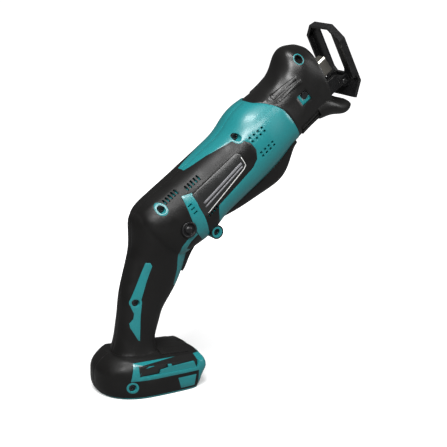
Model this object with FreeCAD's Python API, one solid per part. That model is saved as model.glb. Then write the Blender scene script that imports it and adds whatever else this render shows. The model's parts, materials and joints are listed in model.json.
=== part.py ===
import FreeCAD, Part
import math
import os
from FreeCAD import Vector as V

os.makedirs("parts", exist_ok=True)

# A compact cordless reciprocating saw, bare of battery and blade, standing on its battery foot.
# Stand frame: origin under the middle of the foot, +X towards the blade, +Y the tool's left, +Z up.
# Barrel frame: u along the stroke, y as above, h square to both, h = 0 on the stroke axis.

# ---------------------------------------------------------------- driving dimensions
TILT = 36.0              # stroke axis above the floor, degrees
STROKE_AXIS = 114.5      # from the origin to the stroke axis, square to it
STROKE = 13.0
BARREL_WIDTH = 66.0
HANDLE_WIDTH = 49.0      # where it runs into the barrel
FOOT_WIDTH = 75.0
FOOT_HEIGHT = 36.0
SKIN = 1.4               # moulded rubber over the hard shell
WALL = 2.6               # hard shell
BOOT_WALL = 2.8
CASE_WALL = 3.0
FIT = 0.15               # sliding clearance each side
RUN = 0.03               # running clearance of a shaft, radial
GAP = 0.3                # between castings and shells

SEAM = [(236, 60), (237, 34), (239.6, 27.4), (243.4, 25), (248.2, 20.5), (253.2, 13.2), (255.6, 4),
        (256.3, -8), (256.6, -30), (256.6, -60)]     # (u, h) of the joint between shell and boot
NOSE_FACE = 309.0            # u of the nose's front face on the stroke axis
NOSE_RAKE = 0.167            # du per dh of that face
HUMP_BASE = 27.0             # the gear case stops here, the hump above is rubber

MOTOR_AXIS = -11.5           # h of the rotor's axis
MOTOR_R = 19.0
BELL_REAR, CAN_REAR, CAN_FRONT = 126.0, 148.0, 185.0
CAN_WALL = 1.5
SHAFT_R = 3.0
SHAFT_REAR_R = 2.5
SHAFT_NOSE_R = 2.0
REAR_BEARING = (127.0, 5.0, 6.5)     # u, length, outer radius
FRONT_BEARING = (199.0, 6.0, 9.5)
FAN_U, FAN_R, FAN_BLADES = 187.5, 20.5, 9

MODULE = 1.0
PINION_TEETH = 8
CRANK_TEETH = 32
CRANK_U = 238.0              # u of the crank's axle
CRANK_FACE = (15.6, 19.5)    # inner and outer radius of the ring of teeth
AXLE_R = 4.0
CRANK_PIN_R = 3.0
CRANK_BASE = 6.0             # thickness of the crank gear's web under its teeth
PIN_AHEAD = 2.5              # how far the crank pin stands ahead of the axle at rest

SLIDER_HALF = 6.0            # half thickness, along y
SLIDER_TALL = 17.0
SLIDER_TIP = 328.0
YOKE_LONG, YOKE_WIDE = 15.0, 30.0
GUIDE_U = (264.0, 286.0)     # rear faces of the two guides
GUIDE_LONG = 8.0
GUIDE_RIM = 3.0
BLADE_SLIT = 1.4

PIVOT = (331.0, -23.0)       # (u, h) of the shoe's hinge
BRACKET_THICK = 3.0
BRACKET_WIDTH = 22.0
BRACKET_REAR = 284.0
PIN_R = 2.5
SHOE_WIDTH = 54.5
SHOE_TALL = 59.0
SHOE_THICK = 2.6
SHOE_SLOT = 19.0
SHOE_LEAN = 80.1             # degrees of its plate from the stroke axis
SHOE_FLANGE = 7.0
SHOE_CHAMFER = 12.5
SHOE_FOOT = (338.0, -25.5)   # (u, h) where the plate starts

BUTTON_R = 7.5
BUTTON_AT = (33.8, 150.1)    # (x, z)
BUTTON_TRAVEL = 4.0
TRIGGER_WIDTH = 16.0
TRIGGER_TRAVEL = 5.0
TRIGGER_AT = (42.0, 117.0)   # (x, z) on the handle's front face
TRIGGER_LEAN = 19.0          # its face looks this far below the horizontal

BAY_WIDTH = 60.0             # battery bay, open below and in front
BAY_LIP = 4.0
BAY_HEIGHT = 14.0
BAY_REAR = -20.0
LIP_HEIGHT = 5.0

SCREW_R = 1.7
SCREW_HEAD_R = 3.2
RING_R = 5.2                 # hard ring left bare round each screw

# ---------------------------------------------------------------- frames
RAD = math.radians(TILT)
BARREL = FreeCAD.Placement(V(-STROKE_AXIS * math.sin(RAD), 0, STROKE_AXIS * math.cos(RAD)),
                           FreeCAD.Rotation(V(0, 1, 0), -TILT))
STAND = FreeCAD.Placement()
TRIGGER = FreeCAD.Placement(V(TRIGGER_AT[0], 0, TRIGGER_AT[1]),
                            FreeCAD.Rotation(V(0, 1, 0), TRIGGER_LEAN))
SHOE = BARREL.multiply(FreeCAD.Placement(V(SHOE_FOOT[0], 0, SHOE_FOOT[1]),
                                         FreeCAD.Rotation(V(0, 1, 0), 90 - SHOE_LEAN)))


# ---------------------------------------------------------------- small makers
def placed(shape, frame):
    shape.Placement = frame.multiply(shape.Placement)
    return shape


def box(x, y, z, frame=STAND):
    """A block from three (low, high) pairs."""
    low = V(x[0], y[0], z[0])
    return placed(Part.makeBox(x[1] - x[0], y[1] - y[0], z[1] - z[0], low), frame)


def rod(radius, start, length, along, frame=STAND):
    return placed(Part.makeCylinder(radius, length, V(*start), V(*along)), frame)


def tube(outer, inner, start, length, along, frame=STAND):
    return rod(outer, start, length, along, frame).cut(rod(inner, start, length, along, frame))


def prism(points, y, frame=STAND):
    """A side outline carried across from y[0] to y[1]."""
    wire = Part.makePolygon([V(a, y[0], b) for a, b in points + points[:1]])
    return placed(Part.Face(wire).extrude(V(0, y[1] - y[0], 0)), frame)


def union(shapes):
    return shapes[0].fuse(shapes[1:]) if len(shapes) > 1 else shapes[0]


def save(name, shape):
    solids = [s for s in shape.Solids if s.Volume > 0.5]
    Part.makeCompound(solids).exportStep("parts/%s.step" % name)


# ---------------------------------------------------------------- lofted outer forms
def egg(high, low, half, n_high, n_low, count):
    """Points of a closed section whose two ends have their own fullness."""
    middle = (high + low) / 2
    points = []
    for i in range(count):
        turn = 2 * math.pi * i / count
        c, s = math.cos(turn), math.sin(turn)
        fullness = n_high if c >= 0 else n_low
        across = half * math.copysign(abs(s) ** (2 / fullness), s)
        points.append((across, middle + (high - middle) * math.copysign(abs(c) ** (2 / fullness), c)))
    return points


def eased(rows, at):
    """Values of a table of rows at a station, by monotone cubics that never overshoot."""
    stations = [r[0] for r in rows]
    i = 0
    while i < len(rows) - 2 and at > stations[i + 1]:
        i += 1
    span = stations[i + 1] - stations[i]
    t = (at - stations[i]) / span
    values = []
    for column in range(1, len(rows[0])):
        v = [r[column] for r in rows]

        def slope(k):
            if k == 0 or k == len(rows) - 1:
                j = min(k, len(rows) - 2)
                return (v[j + 1] - v[j]) / (stations[j + 1] - stations[j])
            a = (v[k] - v[k - 1]) / (stations[k] - stations[k - 1])
            b = (v[k + 1] - v[k]) / (stations[k + 1] - stations[k])
            return 0.0 if a * b <= 0 else 2 * a * b / (a + b)

        m0, m1 = slope(i) * span, slope(i + 1) * span
        values.append((2 * t ** 3 - 3 * t ** 2 + 1) * v[i] + (t ** 3 - 2 * t ** 2 + t) * m0
                      + (3 * t ** 2 - 2 * t ** 3) * v[i + 1] + (t ** 3 - t ** 2) * m1)
    return values


def loft(rows, start, stop, inset, step, upright=False, top=None, frame=STAND, count=16):
    """A smooth body through eased sections, pulled in all round by inset."""
    spans = max(2, math.ceil((stop - start) / step))
    wires = []
    for k in range(spans + 1):
        at = start + (stop - start) * k / spans
        high, low, half, n_high, n_low = eased(rows, at)
        if top is not None:
            high = min(high, top)
        points = []
        for across, value in egg(high - inset, low + inset, half - inset, n_high, n_low,
                                 count):
            points.append(V(value, across, at) if upright else V(at, across, value))
        curve = Part.BSplineCurve()
        curve.interpolate(points, PeriodicFlag=True)
        wires.append(Part.Wire([curve.toShape()]))
    return placed(Part.makeLoft(wires, True, False, False), frame)


HALF = BARREL_WIDTH / 2
# station u, top, bottom, half width, fullness of top and bottom
BARREL_ROWS = [
    (86, 15.5, -28, HALF - 15, 2.3, 2.3), (90, 20.5, -33, HALF - 10, 2.3, 2.3),
    (96, 23.2, -36.5, HALF - 6.5, 2.4, 2.4), (106, 24, -39, HALF - 4.5, 2.4, 2.4),
    (120, 23.6, -41.5, HALF - 3, 2.4, 2.3), (134, 23.2, -42.5, HALF - 2.2, 2.4, 2.3),
    (146, 22.8, -40, HALF - 2, 2.4, 2.4), (158, 22.6, -37.8, HALF - 1.7, 2.4, 2.4),
    (172, 22.4, -37.5, HALF - 1.5, 2.4, 2.4), (195, 22.4, -37.5, HALF - 1, 2.4, 2.4),
    (205, 24.2, -37.3, HALF - 0.5, 2.35, 2.4), (213, 26.8, -37, HALF, 2.3, 2.4),
    (222, 29.2, -36.5, HALF, 2.3, 2.4), (232, 29.9, -35.5, HALF - 0.7, 2.3, 2.4),
    (242, 28.8, -34, HALF - 2, 2.3, 2.4), (254, 27.4, -32.8, HALF - 3.4, 2.3, 2.4),
    (266, 26.6, -31.8, HALF - 4.6, 2.3, 2.4)]
BOOT_ROWS = [
    (228, 29, -34.6, HALF - 1.6, 2.3, 2.4), (240, 28, -33.5, HALF - 2.6, 2.3, 2.4),
    (250, 27, -32.6, HALF - 3.7, 2.3, 2.5), (260, 27.2, -31.8, HALF - 5, 2.3, 2.7),
    (272, 29.4, -31.5, HALF - 6.2, 2.3, 2.8), (280, 33, -32, HALF - 6.8, 2.2, 2.8),
    (287, 38.3, -32.5, HALF - 7.3, 2.2, 2.8), (294, 42.2, -33, HALF - 7.7, 2.15, 2.8),
    (300, 42.8, -33.5, HALF - 8, 2.1, 2.8), (306, 40.4, -34, HALF - 8.4, 2.1, 2.8),
    (312, 35, -34.5, HALF - 9, 2.1, 2.7), (318, 28, -35, HALF - 10, 2.1, 2.6)]
LIP_ROWS = [
    (286, -10, -32.2, HALF - 8.6, 2.5, 3), (298, -12, -37.5, HALF - 8.8, 2.5, 3),
    (306, -20, -44, HALF - 9.6, 2.5, 3), (314, -29, -47.5, HALF - 12, 2.5, 2.8),
    (319, -35, -48, HALF - 15, 2.3, 2.5), (323, -40.5, -47.2, HALF - 20.5, 2, 2)]
PAD_ROWS = [
    (149, -20, -38.4, 16, 2.2, 2.4), (165, -20, -43.5, 17.5, 2.2, 2.4),
    (185, -20, -48, 18.5, 2.2, 2.4), (206, -20, -51.6, 19.5, 2.2, 2.4),
    (212, -20, -53, 20, 2.2, 2.4), (223, -20, -52.6, 20, 2.2, 2.4),
    (231, -20, -48.5, 20.5, 2.2, 2.4), (242, -20, -41.5, 21, 2.2, 2.4),
    (252, -20, -34.5, 21, 2.2, 2.4)]
GRIP = HANDLE_WIDTH / 2
# station z, front, rear, half width, fullness of front and rear
HANDLE_ROWS = [
    (24, 17, -38, GRIP, 2.2, 2.2), (32, 13.5, -33.5, GRIP - 3.5, 2.2, 2.2),
    (38, 11, -31, GRIP - 5.4, 2.2, 2.2), (46, 10.2, -28.5, GRIP - 6.6, 2.2, 2.2),
    (58, 13.3, -26.3, GRIP - 7, 2.2, 2.2), (75, 19.8, -24, GRIP - 7, 2.2, 2.2),
    (90, 30.6, -22.3, GRIP - 6.5, 2.1, 2.2), (104, 38, -18.9, GRIP - 6, 2.1, 2.2),
    (117, 42, -15, GRIP - 5, 2.2, 2.2), (130, 45.5, -11.5, GRIP - 2.5, 2.2, 2.2),
    (145, 51, -10, GRIP, 2.3, 2.3), (155, 50, -10.2, GRIP - 0.3, 2.3, 2.3),
    (161, 45, -8, GRIP - 2.5, 2.3, 2.3), (166, 38, -2, GRIP - 7, 2.3, 2.3)]
FOOT_HALF = FOOT_WIDTH / 2
FOOT_ROWS = [
    (0, 41, -45, FOOT_HALF - 1.4, 9, 2.3), (3, 42.5, -47.6, FOOT_HALF - 0.3, 9, 2.3),
    (12, 46, -49.8, FOOT_HALF, 10, 2.3), (FOOT_HEIGHT - 15.5, 49.3, -49.8, FOOT_HALF, 12, 2.3),
    (FOOT_HEIGHT - 9, 47.5, -47.5, FOOT_HALF - 0.8, 10, 2.3),
    (FOOT_HEIGHT - 4, 43, -42.5, FOOT_HALF - 2.5, 7, 2.3),
    (FOOT_HEIGHT, 38, -36, FOOT_HALF - 8, 4, 2.3)]
FOOT_CROWN = (85.0, 4.0)     # radius of its crowned top, and how far that dips to the front, degrees
FAR = 400.0
LUG_AT = (136.8, -38.2)
LUG_R = 6.6
LUG_HALF = 24.0


def seam_cutter(ahead, shift=0.0):
    """Everything ahead of, or behind, the curved joint between shell and boot."""
    curve = Part.BSplineCurve()
    curve.interpolate([V(u + shift, -100, h) for u, h in SEAM])
    end = FAR if ahead else 0.0
    top, low = SEAM[0], SEAM[-1]
    rest = Part.makePolygon([V(low[0] + shift, -100, low[1]), V(end, -100, low[1]),
                             V(end, -100, top[1]), V(top[0] + shift, -100, top[1])])
    face = Part.Face(Part.Wire([curve.toShape()] + rest.Edges))
    return placed(face.extrude(V(0, 200, 0)), BARREL)


def foot_crown(inset):
    """Everything under the foot's crowned top."""
    radius, dip = FOOT_CROWN
    slope = math.radians(dip)
    return rod(radius - inset, (-100, 0, FOOT_HEIGHT - radius + 110 * math.tan(slope)), 300,
               (math.cos(slope), 0, -math.sin(slope)))


def envelope(inset):
    """Barrel, handle and foot as one body, pulled in by inset."""
    barrel = loft(BARREL_ROWS, 86 + inset, 264, inset, 11.9, frame=BARREL).common(seam_cutter(False))
    handle = loft(HANDLE_ROWS, 24, 166 - inset, inset, 13, upright=True)
    foot = loft(FOOT_ROWS, inset, FOOT_HEIGHT - inset, inset, 4.6, upright=True, count=32)
    foot = foot.common(foot_crown(inset))
    lug = rod(LUG_R - inset, (LUG_AT[0], inset - LUG_HALF, LUG_AT[1]), 2 * (LUG_HALF - inset),
              (0, 1, 0), BARREL)
    return union([barrel, handle, foot, lug])


# ---------------------------------------------------------------- where hard plastic shows
SIDES = (-60.0, 60.0)
front_shell = prism([(149, 60), (150.5, 22.3), (174.5, 21), (198.5, 18.2), (205.2, 15.4),
                     (209.8, 9), (210, 1), (205.5, -6.8), (197.5, -10.6), (180, -12.6),
                     (151, -15.4), (147.5, -22), (145, -30), (144.5, -60), (300, -60), (300, 60)],
                    SIDES, BARREL)
band = prism([(129.5, 14.3), (138.5, 10.8), (135.2, -3), (134.3, -13.5), (131, -29), (129.6, -47),
              (122.5, -39), (120.5, -24), (120.3, -17), (124.4, -1.6), (127.3, 8)], SIDES, BARREL)
trigger_edge = prism([(25.4, 95), (28.2, 110), (27.6, 124), (28.6, 134), (34, 141.3), (40.6, 147.5),
                      (43.6, 144), (37.4, 137.5), (34.6, 131), (60, 120), (60, 88)], SIDES)
grip_flash = prism([(-3.8, 121.3), (0.2, 121), (1.8, 117.8), (-3.6, 103), (-8.6, 87.5), (-8.7, 80.3),
                    (-9.9, 72.5), (-11.4, 49), (-13, 49.4), (-19.2, 61.5), (-19.6, 65.5),
                    (-16.2, 69.8), (-15.4, 74.6), (-17.6, 80.5), (-17.8, 87), (-13.2, 98)], SIDES)
foot_band = prism([(-28.5, 17.6), (-24.5, 33.4), (38, 30.2), (70, 30.2), (70, -2), (38.8, -2),
                   (38.8, 17.6)], SIDES)
foot_tab = prism([(17, 14.2), (36, 14.2), (34.4, 3.6), (20, 3.6)], SIDES)
foot_rim = box((-60, 60), SIDES, (-2, 1.6))
SCREWS = [  # side position, frame, depth of the surface it enters, centre
    ((204.6, 18.4), BARREL, 20.5), ((108.4, 16.6), BARREL, 22.0), (LUG_AT, BARREL, LUG_HALF),
    ((-13.4, 84.4), STAND, 15.6), ((-27, 11.6), STAND, 34.5)]
screw_rings = [rod(RING_R, (a, -60, b), 120, (0, 1, 0), frame) for (a, b), frame, depth in SCREWS]
bare = union([front_shell, band, trigger_edge, grip_flash, foot_band, foot_tab, foot_rim]
             + screw_rings)

# ---------------------------------------------------------------- shell, inside and out
# Both halves are cut from one right-hand half: the screws enter it, and its mirror is the left.
right_side = box((-200, 400), (-100, 0), (-50, 400))
outer = envelope(0.0).common(right_side)
middle = envelope(SKIN).common(right_side)
inner = envelope(SKIN + WALL).common(right_side)
rear_pocket = box((-100, BAY_REAR - WALL), SIDES, (4, FOOT_HEIGHT))
upper_room = box((-100, 200), SIDES, (BAY_HEIGHT + WALL, FAR))
inner = inner.common(union([rear_pocket, upper_room]))
bay = union([box((BAY_REAR, 80), (-BAY_WIDTH / 2, BAY_WIDTH / 2), (LIP_HEIGHT, BAY_HEIGHT)),
             box((BAY_REAR, 80), (BAY_LIP - BAY_WIDTH / 2, BAY_WIDTH / 2 - BAY_LIP),
                 (-5, LIP_HEIGHT + 1))])

MOTOR_SEATS = (128.0, 179.0)
SEAT_LONG = 3.0
seats = [box((u, u + SEAT_LONG), SIDES, (-60, 60), BARREL) for u in MOTOR_SEATS]
motor_room = rod(MOTOR_R + 0.1, (100, 0, MOTOR_AXIS), 100, (1, 0, 0), BARREL)
supports = union(seats).cut(motor_room)
button_hole = rod(BUTTON_R + FIT, (BUTTON_AT[0], -60, BUTTON_AT[1]), 120, (0, 1, 0))
button_guide = rod(BUTTON_R + FIT + 1.8, (BUTTON_AT[0], -60, BUTTON_AT[1]), 120, (0, 1, 0))
bosses = []
head_cuts = []
shank_cuts = []
screws = []
for (a, b), frame, depth in SCREWS:
    bosses.append(rod(SCREW_R + 2.2, (a, -60, b), 120, (0, 1, 0), frame))
    shank_cuts.append(rod(SCREW_R, (a, 6 - depth, b), 2 * depth - 12, (0, 1, 0), frame))
    head_cuts.append(rod(SCREW_R, (a, -depth, b), 7, (0, 1, 0), frame))
    head_cuts.append(rod(SCREW_HEAD_R + 0.2, (a, -60, b), 60 - depth + 5, (0, 1, 0), frame))
    head = rod(SCREW_HEAD_R, (a, 2.4 - depth, b), 2.6, (0, 1, 0), frame)
    shank = rod(SCREW_R, (a, 4 - depth, b), 2 * depth - 11, (0, 1, 0), frame)
    drive = [rod(0.5, (a + 1.5 * math.cos(math.pi * k / 3), 2.3 - depth,
                       b + 1.5 * math.sin(math.pi * k / 3)), 1.4, (0, 1, 0), frame) for k in range(6)]
    socket = rod(1.5, (a, 2.3 - depth, b), 1.4, (0, 1, 0), frame)
    screws.append(head.fuse(shank).cut(union(drive + [socket])))
supports = inner.common(union([supports, button_guide] + bosses))

# vents: two groups of small square holes beside the fan, slots at the rear where air is drawn in
VENT, VENT_PITCH, VENT_ROWS = 2.3, 4.9, ((12.2, 8.5), (-4.6, -8.3))
vents = []
for pair in VENT_ROWS:
    for h in pair:
        for k in range(4):
            u = 212.2 + VENT_PITCH * k
            vents.append(box((u - VENT / 2, u + VENT / 2), SIDES, (h - VENT / 2, h + VENT / 2), BARREL))
SLOT = 1.7
SLOT_GROUPS = [  # first u, pitch, count, low h, high h
    (137.5, 3.6, 5, 13.6, 17.8), (114.5, 3.5, 5, 16.8, 20.5), (137.6, 3.4, 4, -17.6, -13.6)]
for first, pitch, count, low, high in SLOT_GROUPS:
    for k in range(count):
        u = first + pitch * k
        vents.append(box((u, u + SLOT), SIDES, (low, high), BARREL))
for k in range(3):
    vents.append(box((127.6, 131.8), SIDES, (3.4 - 4.2 * k, 3.4 - 4.2 * k + SLOT), BARREL))
vent_cuts = Part.makeCompound(vents)

trigger_slot = box((-12, 30), (-TRIGGER_WIDTH / 2 - GAP, TRIGGER_WIDTH / 2 + GAP), (-13.4, 18.4),
                   TRIGGER)
plate_outline = [(137.4, 9.6), (193.4, 10.4), (196, 7), (194.6, -4.4), (190, -6.2), (137, -15.6),
                 (134.4, -13)]
PLATE_DEEP = 0.9
PLATE_THICK = 0.5
panel = prism(plate_outline, (-60, 0), BARREL)
side_deep = loft(BARREL_ROWS, 125, 205, PLATE_DEEP, 16, frame=BARREL)
side_face = loft(BARREL_ROWS, 125, 205, PLATE_DEEP - PLATE_THICK, 16, frame=BARREL)
plate = panel.common(side_face).cut(side_deep)
save("blank_side_plates", Part.makeCompound([plate, plate.mirror(V(0, 0, 0), V(0, 1, 0))]))
RAIL_DEEP = 3.0
rail_y = (-FOOT_HALF - 5, RAIL_DEEP - FOOT_HALF)
pocket = prism([(-21, 21.5), (-17, 28), (0, 30.5), (37, 31.5), (40, 27), (37, 20.5)], rail_y)
shelf = prism([(-2, 19), (0, 24.8), (7.5, 25.6), (7.5, 32), (11, 32), (11, 26), (34, 27),
               (36, 21.5), (36, 19)], (0.8 - FOOT_HALF, 5 - FOOT_HALF))
cuts = [bay, button_hole, vent_cuts, trigger_slot, pocket.cut(shelf)]
shown = outer.common(bare)
panel_room = panel.cut(side_deep)
hard = middle.fuse(shown).cut(inner).fuse(supports).cut(cuts + shank_cuts + [panel_room])
skin = outer.cut([middle, bare]).cut(cuts + [panel_room])
ACROSS = (V(0, 0, 0), V(0, 1, 0))
save("shell_left", hard.mirror(*ACROSS))
save("shell_right", hard.cut(head_cuts))
save("grip_skin_left", skin.mirror(*ACROSS))
save("grip_skin_right", skin.cut(head_cuts))
save("shell_screws", Part.makeCompound(screws))

solid_outer = envelope(0.0)
pad = loft(PAD_ROWS, 149, 252, 0.0, 14.8, frame=BARREL)
save("front_grip_pad", pad.cut(solid_outer))
TOP_PAD = 0.8
foot_top = prism([(8, FOOT_HEIGHT - 9), (37, FOOT_HEIGHT - 9), (33.5, FOOT_HEIGHT + 3), (8, FOOT_HEIGHT + 3)],
                 (-FOOT_HALF + 15, FOOT_HALF - 15)).common(foot_crown(-TOP_PAD))
save("foot_top_pad", foot_top.cut(solid_outer))

# ---------------------------------------------------------------- gear case, boot and nose
CORE_INSET = SKIN + WALL + GAP
core_rear = loft(BARREL_ROWS, 197, 262, CORE_INSET, 11, frame=BARREL)
core_rear = core_rear.common(box((197, 258), SIDES, (-60, 60), BARREL))
core_nose = loft(BOOT_ROWS, 250, 314, BOOT_WALL, 11, top=HUMP_BASE, frame=BARREL)
behind_face = prism([(0, 100), (NOSE_FACE - 3 + NOSE_RAKE * 100, 100),
                     (NOSE_FACE - 3 - NOSE_RAKE * 100, -100), (0, -100)], SIDES, BARREL)
core_nose = core_nose.common(behind_face).common(box((258, 330), SIDES, (-60, 60), BARREL))
core = core_rear.fuse(core_nose)
SLIDER_TOP = SLIDER_TALL / 2
room_rear = loft(BARREL_ROWS, 209, 262, CORE_INSET + CASE_WALL, 11, frame=BARREL)
room_rear = room_rear.common(box((209, 256), SIDES, (-60, 60), BARREL))
room_nose = loft(BOOT_ROWS, 250, 306, BOOT_WALL + CASE_WALL + 2.8, 14, top=HUMP_BASE, frame=BARREL)
room_nose = room_nose.common(box((255, 298), SIDES, (-60, 60), BARREL))
room = room_rear.fuse(room_nose)
guide_y = (-SLIDER_HALF - FIT - GUIDE_RIM, SLIDER_HALF + FIT + GUIDE_RIM)
guide_h = (-SLIDER_TOP - FIT - GUIDE_RIM, SLIDER_TOP + FIT + GUIDE_RIM)
slider_hole = box((200, 340), (-SLIDER_HALF - FIT, SLIDER_HALF + FIT),
                  (-SLIDER_TOP - FIT, SLIDER_TOP + FIT), BARREL)
bulkheads = []
for index, u in enumerate(GUIDE_U):
    span = (u, u + GUIDE_LONG)
    seat = box(span, guide_y, guide_h, BARREL)
    bulkheads.append(room.common(box(span, SIDES, (-60, 60), BARREL)).cut(seat))
    save(("rear_slider_guide", "front_slider_guide")[index], seat.cut(slider_hole))
SEAL_U = GUIDE_U[1] + GUIDE_LONG
seal = box((SEAL_U, SEAL_U + 3), guide_y, guide_h, BARREL).cut(slider_hole)
save("dust_seal", seal)
PINION_R = MODULE * PINION_TEETH / 2
TEETH_TOP = MOTOR_AXIS - PINION_R + MODULE          # tips of the crank gear's teeth
TEETH_ROOT = MOTOR_AXIS - PINION_R - 1.25 * MODULE
WEB_LOW = TEETH_ROOT - CRANK_BASE + 2
gear_room = rod(CRANK_FACE[1] + 1, (CRANK_U, 0, WEB_LOW - 0.8), 20, (0, 0, 1), BARREL)
AXLE_LOW = -31.0
axle_boss = core.common(rod(9, (CRANK_U, 0, AXLE_LOW - 5), WEB_LOW - 0.8 - AXLE_LOW + 5, (0, 0, 1),
                            BARREL))
axle = rod(AXLE_R, (CRANK_U, 0, -27), -12.4 + 27, (0, 0, 1), BARREL)
mouth = box((SEAL_U, 340), (-14, 14), (-12.5, 12.5), BARREL)
bracket_h = (PIVOT[1] - BRACKET_THICK / 2, PIVOT[1] + BRACKET_THICK / 2)
bracket_way = box((BRACKET_REAR - 1, 340), (-BRACKET_WIDTH / 2 - GAP, BRACKET_WIDTH / 2 + GAP),
                  (bracket_h[0] - GAP, bracket_h[1] + GAP), BARREL)
BOX_FRONT = 209.0
screw_notch = rod(SCREW_R + 2.4, (SCREWS[0][0][0], -60, SCREWS[0][0][1]), 120, (0, 1, 0), BARREL)
bearing_seat = rod(FRONT_BEARING[2], (FRONT_BEARING[0], 0, MOTOR_AXIS), 40, (1, 0, 0), BARREL)
shaft_hole = rod(FRONT_BEARING[2] - 2, (190, 0, MOTOR_AXIS), 40, (1, 0, 0), BARREL)
bearing_box = core.common(box((197, BOX_FRONT), SIDES, (-60, 60), BARREL))
bearing_box = bearing_box.cut(union([bearing_seat, shaft_hole, screw_notch]))
save("bearing_box", bearing_box)
BOLT_AT = (281.6, 3.8)
BOLT_R = 3.3
bolt_way = rod(BOLT_R - 0.9, (BOLT_AT[0], -60, BOLT_AT[1]), 60, (0, 1, 0), BARREL)
NOSE_SCREW = (298.6, 31.6)
case = core.common(box((BOX_FRONT, 330), SIDES, (-60, 60), BARREL)).cut(room)
case = union([case, axle_boss] + bulkheads)
case = case.cut(union([gear_room, axle, mouth, bracket_way, screw_notch, bolt_way]))
save("gear_case", case)
save("crank_axle", axle)

nose = loft(BOOT_ROWS, 228, 318, 0.0, 9, frame=BARREL)
face_cut = prism([(0, 100), (NOSE_FACE + NOSE_RAKE * 100, 100),
                  (NOSE_FACE - NOSE_RAKE * 100, -100), (0, -100)], SIDES, BARREL)
lip = loft(LIP_ROWS, 286, 323, 0.0, 7.4, frame=BARREL)
boot = union([nose.common(face_cut), lip]).common(seam_cutter(True, 0.2))
opening = box((285, 340), (-14.6, 14.6), (bracket_h[0] - 1.2, 13.2), BARREL)
lens_seat = box((306, 330), (-8, 8), (-38.5, -32), BARREL)
WINDOW = prism([(274, 8.2), (285.4, 7.6), (286, -3.6), (274.2, -3.2)], (-60, 0), BARREL)
nose_screw_hole = rod(SCREW_HEAD_R + 0.2, (NOSE_SCREW[0], -60, NOSE_SCREW[1]), 60 - 10, (0, 1, 0),
                      BARREL)
nose_shank = rod(SCREW_R, (NOSE_SCREW[0], -11, NOSE_SCREW[1]), 22, (0, 1, 0), BARREL)
RIB = 1.1
rib_bars = []
for side in (-1, 1):
    for h, u0, u1 in ((20.6, 255, 285), (15.8, 258, 287)):
        rib_bars.append(box((u0, u1), (min(0, side * 60), max(0, side * 60)), (h, h + 2.6), BARREL))
    for k in range(3):
        h = -21.5 - 3.6 * k
        rib_bars.append(box((262, 285), (min(0, side * 60), max(0, side * 60)), (h, h + 1.8), BARREL))
proud = loft(BOOT_ROWS, 246, 292, -RIB, 9.2, frame=BARREL)
grip_ribs = union(rib_bars).common(proud).common(seam_cutter(True, 4.0))
boot = boot.fuse(grip_ribs).cut(core)
boot = boot.cut(union([opening, lens_seat, WINDOW, nose_screw_hole, nose_shank]))
save("nose_boot", boot)
LINER = 1.2
liner = WINDOW.common(loft(BOOT_ROWS, 262, 300, BOOT_WALL - LINER, 9.5, frame=BARREL)).cut(core)
bolt_room = rod(BOLT_R + 0.4, (BOLT_AT[0], -60, BOLT_AT[1]), 60, (0, 1, 0), BARREL)
liner = liner.cut(bolt_room.fuse(box((277.8, 300), (-60, 0), (0.2, 60), BARREL)))
save("window_liner", liner)
bolt_seat = -(HALF - 6.9 - BOOT_WALL) - 0.15
bolt = rod(BOLT_R, (BOLT_AT[0], bolt_seat - 2.2, BOLT_AT[1]), 2.2, (0, 1, 0), BARREL)
bolt = bolt.fuse(rod(BOLT_R - 0.9, (BOLT_AT[0], bolt_seat - 0.1, BOLT_AT[1]), 6, (0, 1, 0), BARREL))
save("shoe_clamp_bolt", bolt)
nose_head = rod(SCREW_HEAD_R, (NOSE_SCREW[0], -13.2, NOSE_SCREW[1]), 2.4, (0, 1, 0), BARREL)
nose_drive = rod(1.6, (NOSE_SCREW[0], -13.3, NOSE_SCREW[1]), 1.5, (0, 1, 0), BARREL)
save("nose_screw", nose_head.fuse(nose_shank).cut(nose_drive))
lens = box((311, 316), (-7.8, 7.8), (-38.3, -32.2), BARREL)
save("led_lens", lens)
save("led_board", box((306.2, 308), (-7.8, 7.8), (-38.3, -32.2), BARREL))

# ---------------------------------------------------------------- motor
can = tube(MOTOR_R, MOTOR_R - CAN_WALL, (CAN_REAR, 0, MOTOR_AXIS), CAN_FRONT - CAN_REAR, (1, 0, 0),
           BARREL)
cap = tube(MOTOR_R - CAN_WALL, 7, (CAN_FRONT - 1.5, 0, MOTOR_AXIS), 1.5, (1, 0, 0), BARREL)
save("motor_can", can.fuse(cap))
MAGNET_THICK = 3.0
AIR = 0.6
bore_r = MOTOR_R - CAN_WALL - MAGNET_THICK
magnet_ring = tube(MOTOR_R - CAN_WALL, bore_r, (CAN_REAR + 3, 0, MOTOR_AXIS), 30, (1, 0, 0), BARREL)
magnet_gap = box((140, 190), (-40, 40), (MOTOR_AXIS - 4, MOTOR_AXIS + 4), BARREL)
save("field_magnets", magnet_ring.cut(magnet_gap))
bell = union([tube(MOTOR_R, SHAFT_REAR_R + 1, (BELL_REAR, 0, MOTOR_AXIS), 8, (1, 0, 0), BARREL),
              tube(MOTOR_R, MOTOR_R - 2, (BELL_REAR + 8, 0, MOTOR_AXIS), CAN_REAR - BELL_REAR - 8,
                   (1, 0, 0), BARREL)])
rear_seat = rod(REAR_BEARING[2], (REAR_BEARING[0], 0, MOTOR_AXIS), 20, (1, 0, 0), BARREL)
save("end_bell", bell.cut(rear_seat))
save("rear_bearing", tube(REAR_BEARING[2], SHAFT_REAR_R + RUN, (REAR_BEARING[0], 0, MOTOR_AXIS),
                          REAR_BEARING[1], (1, 0, 0), BARREL))
save("front_bearing", tube(FRONT_BEARING[2], SHAFT_R + RUN, (FRONT_BEARING[0], 0, MOTOR_AXIS),
                           FRONT_BEARING[1], (1, 0, 0), BARREL))
COMMUTATOR_R = 6.5
brush_y = (COMMUTATOR_R + GAP, MOTOR_R - 2 - GAP)
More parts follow.
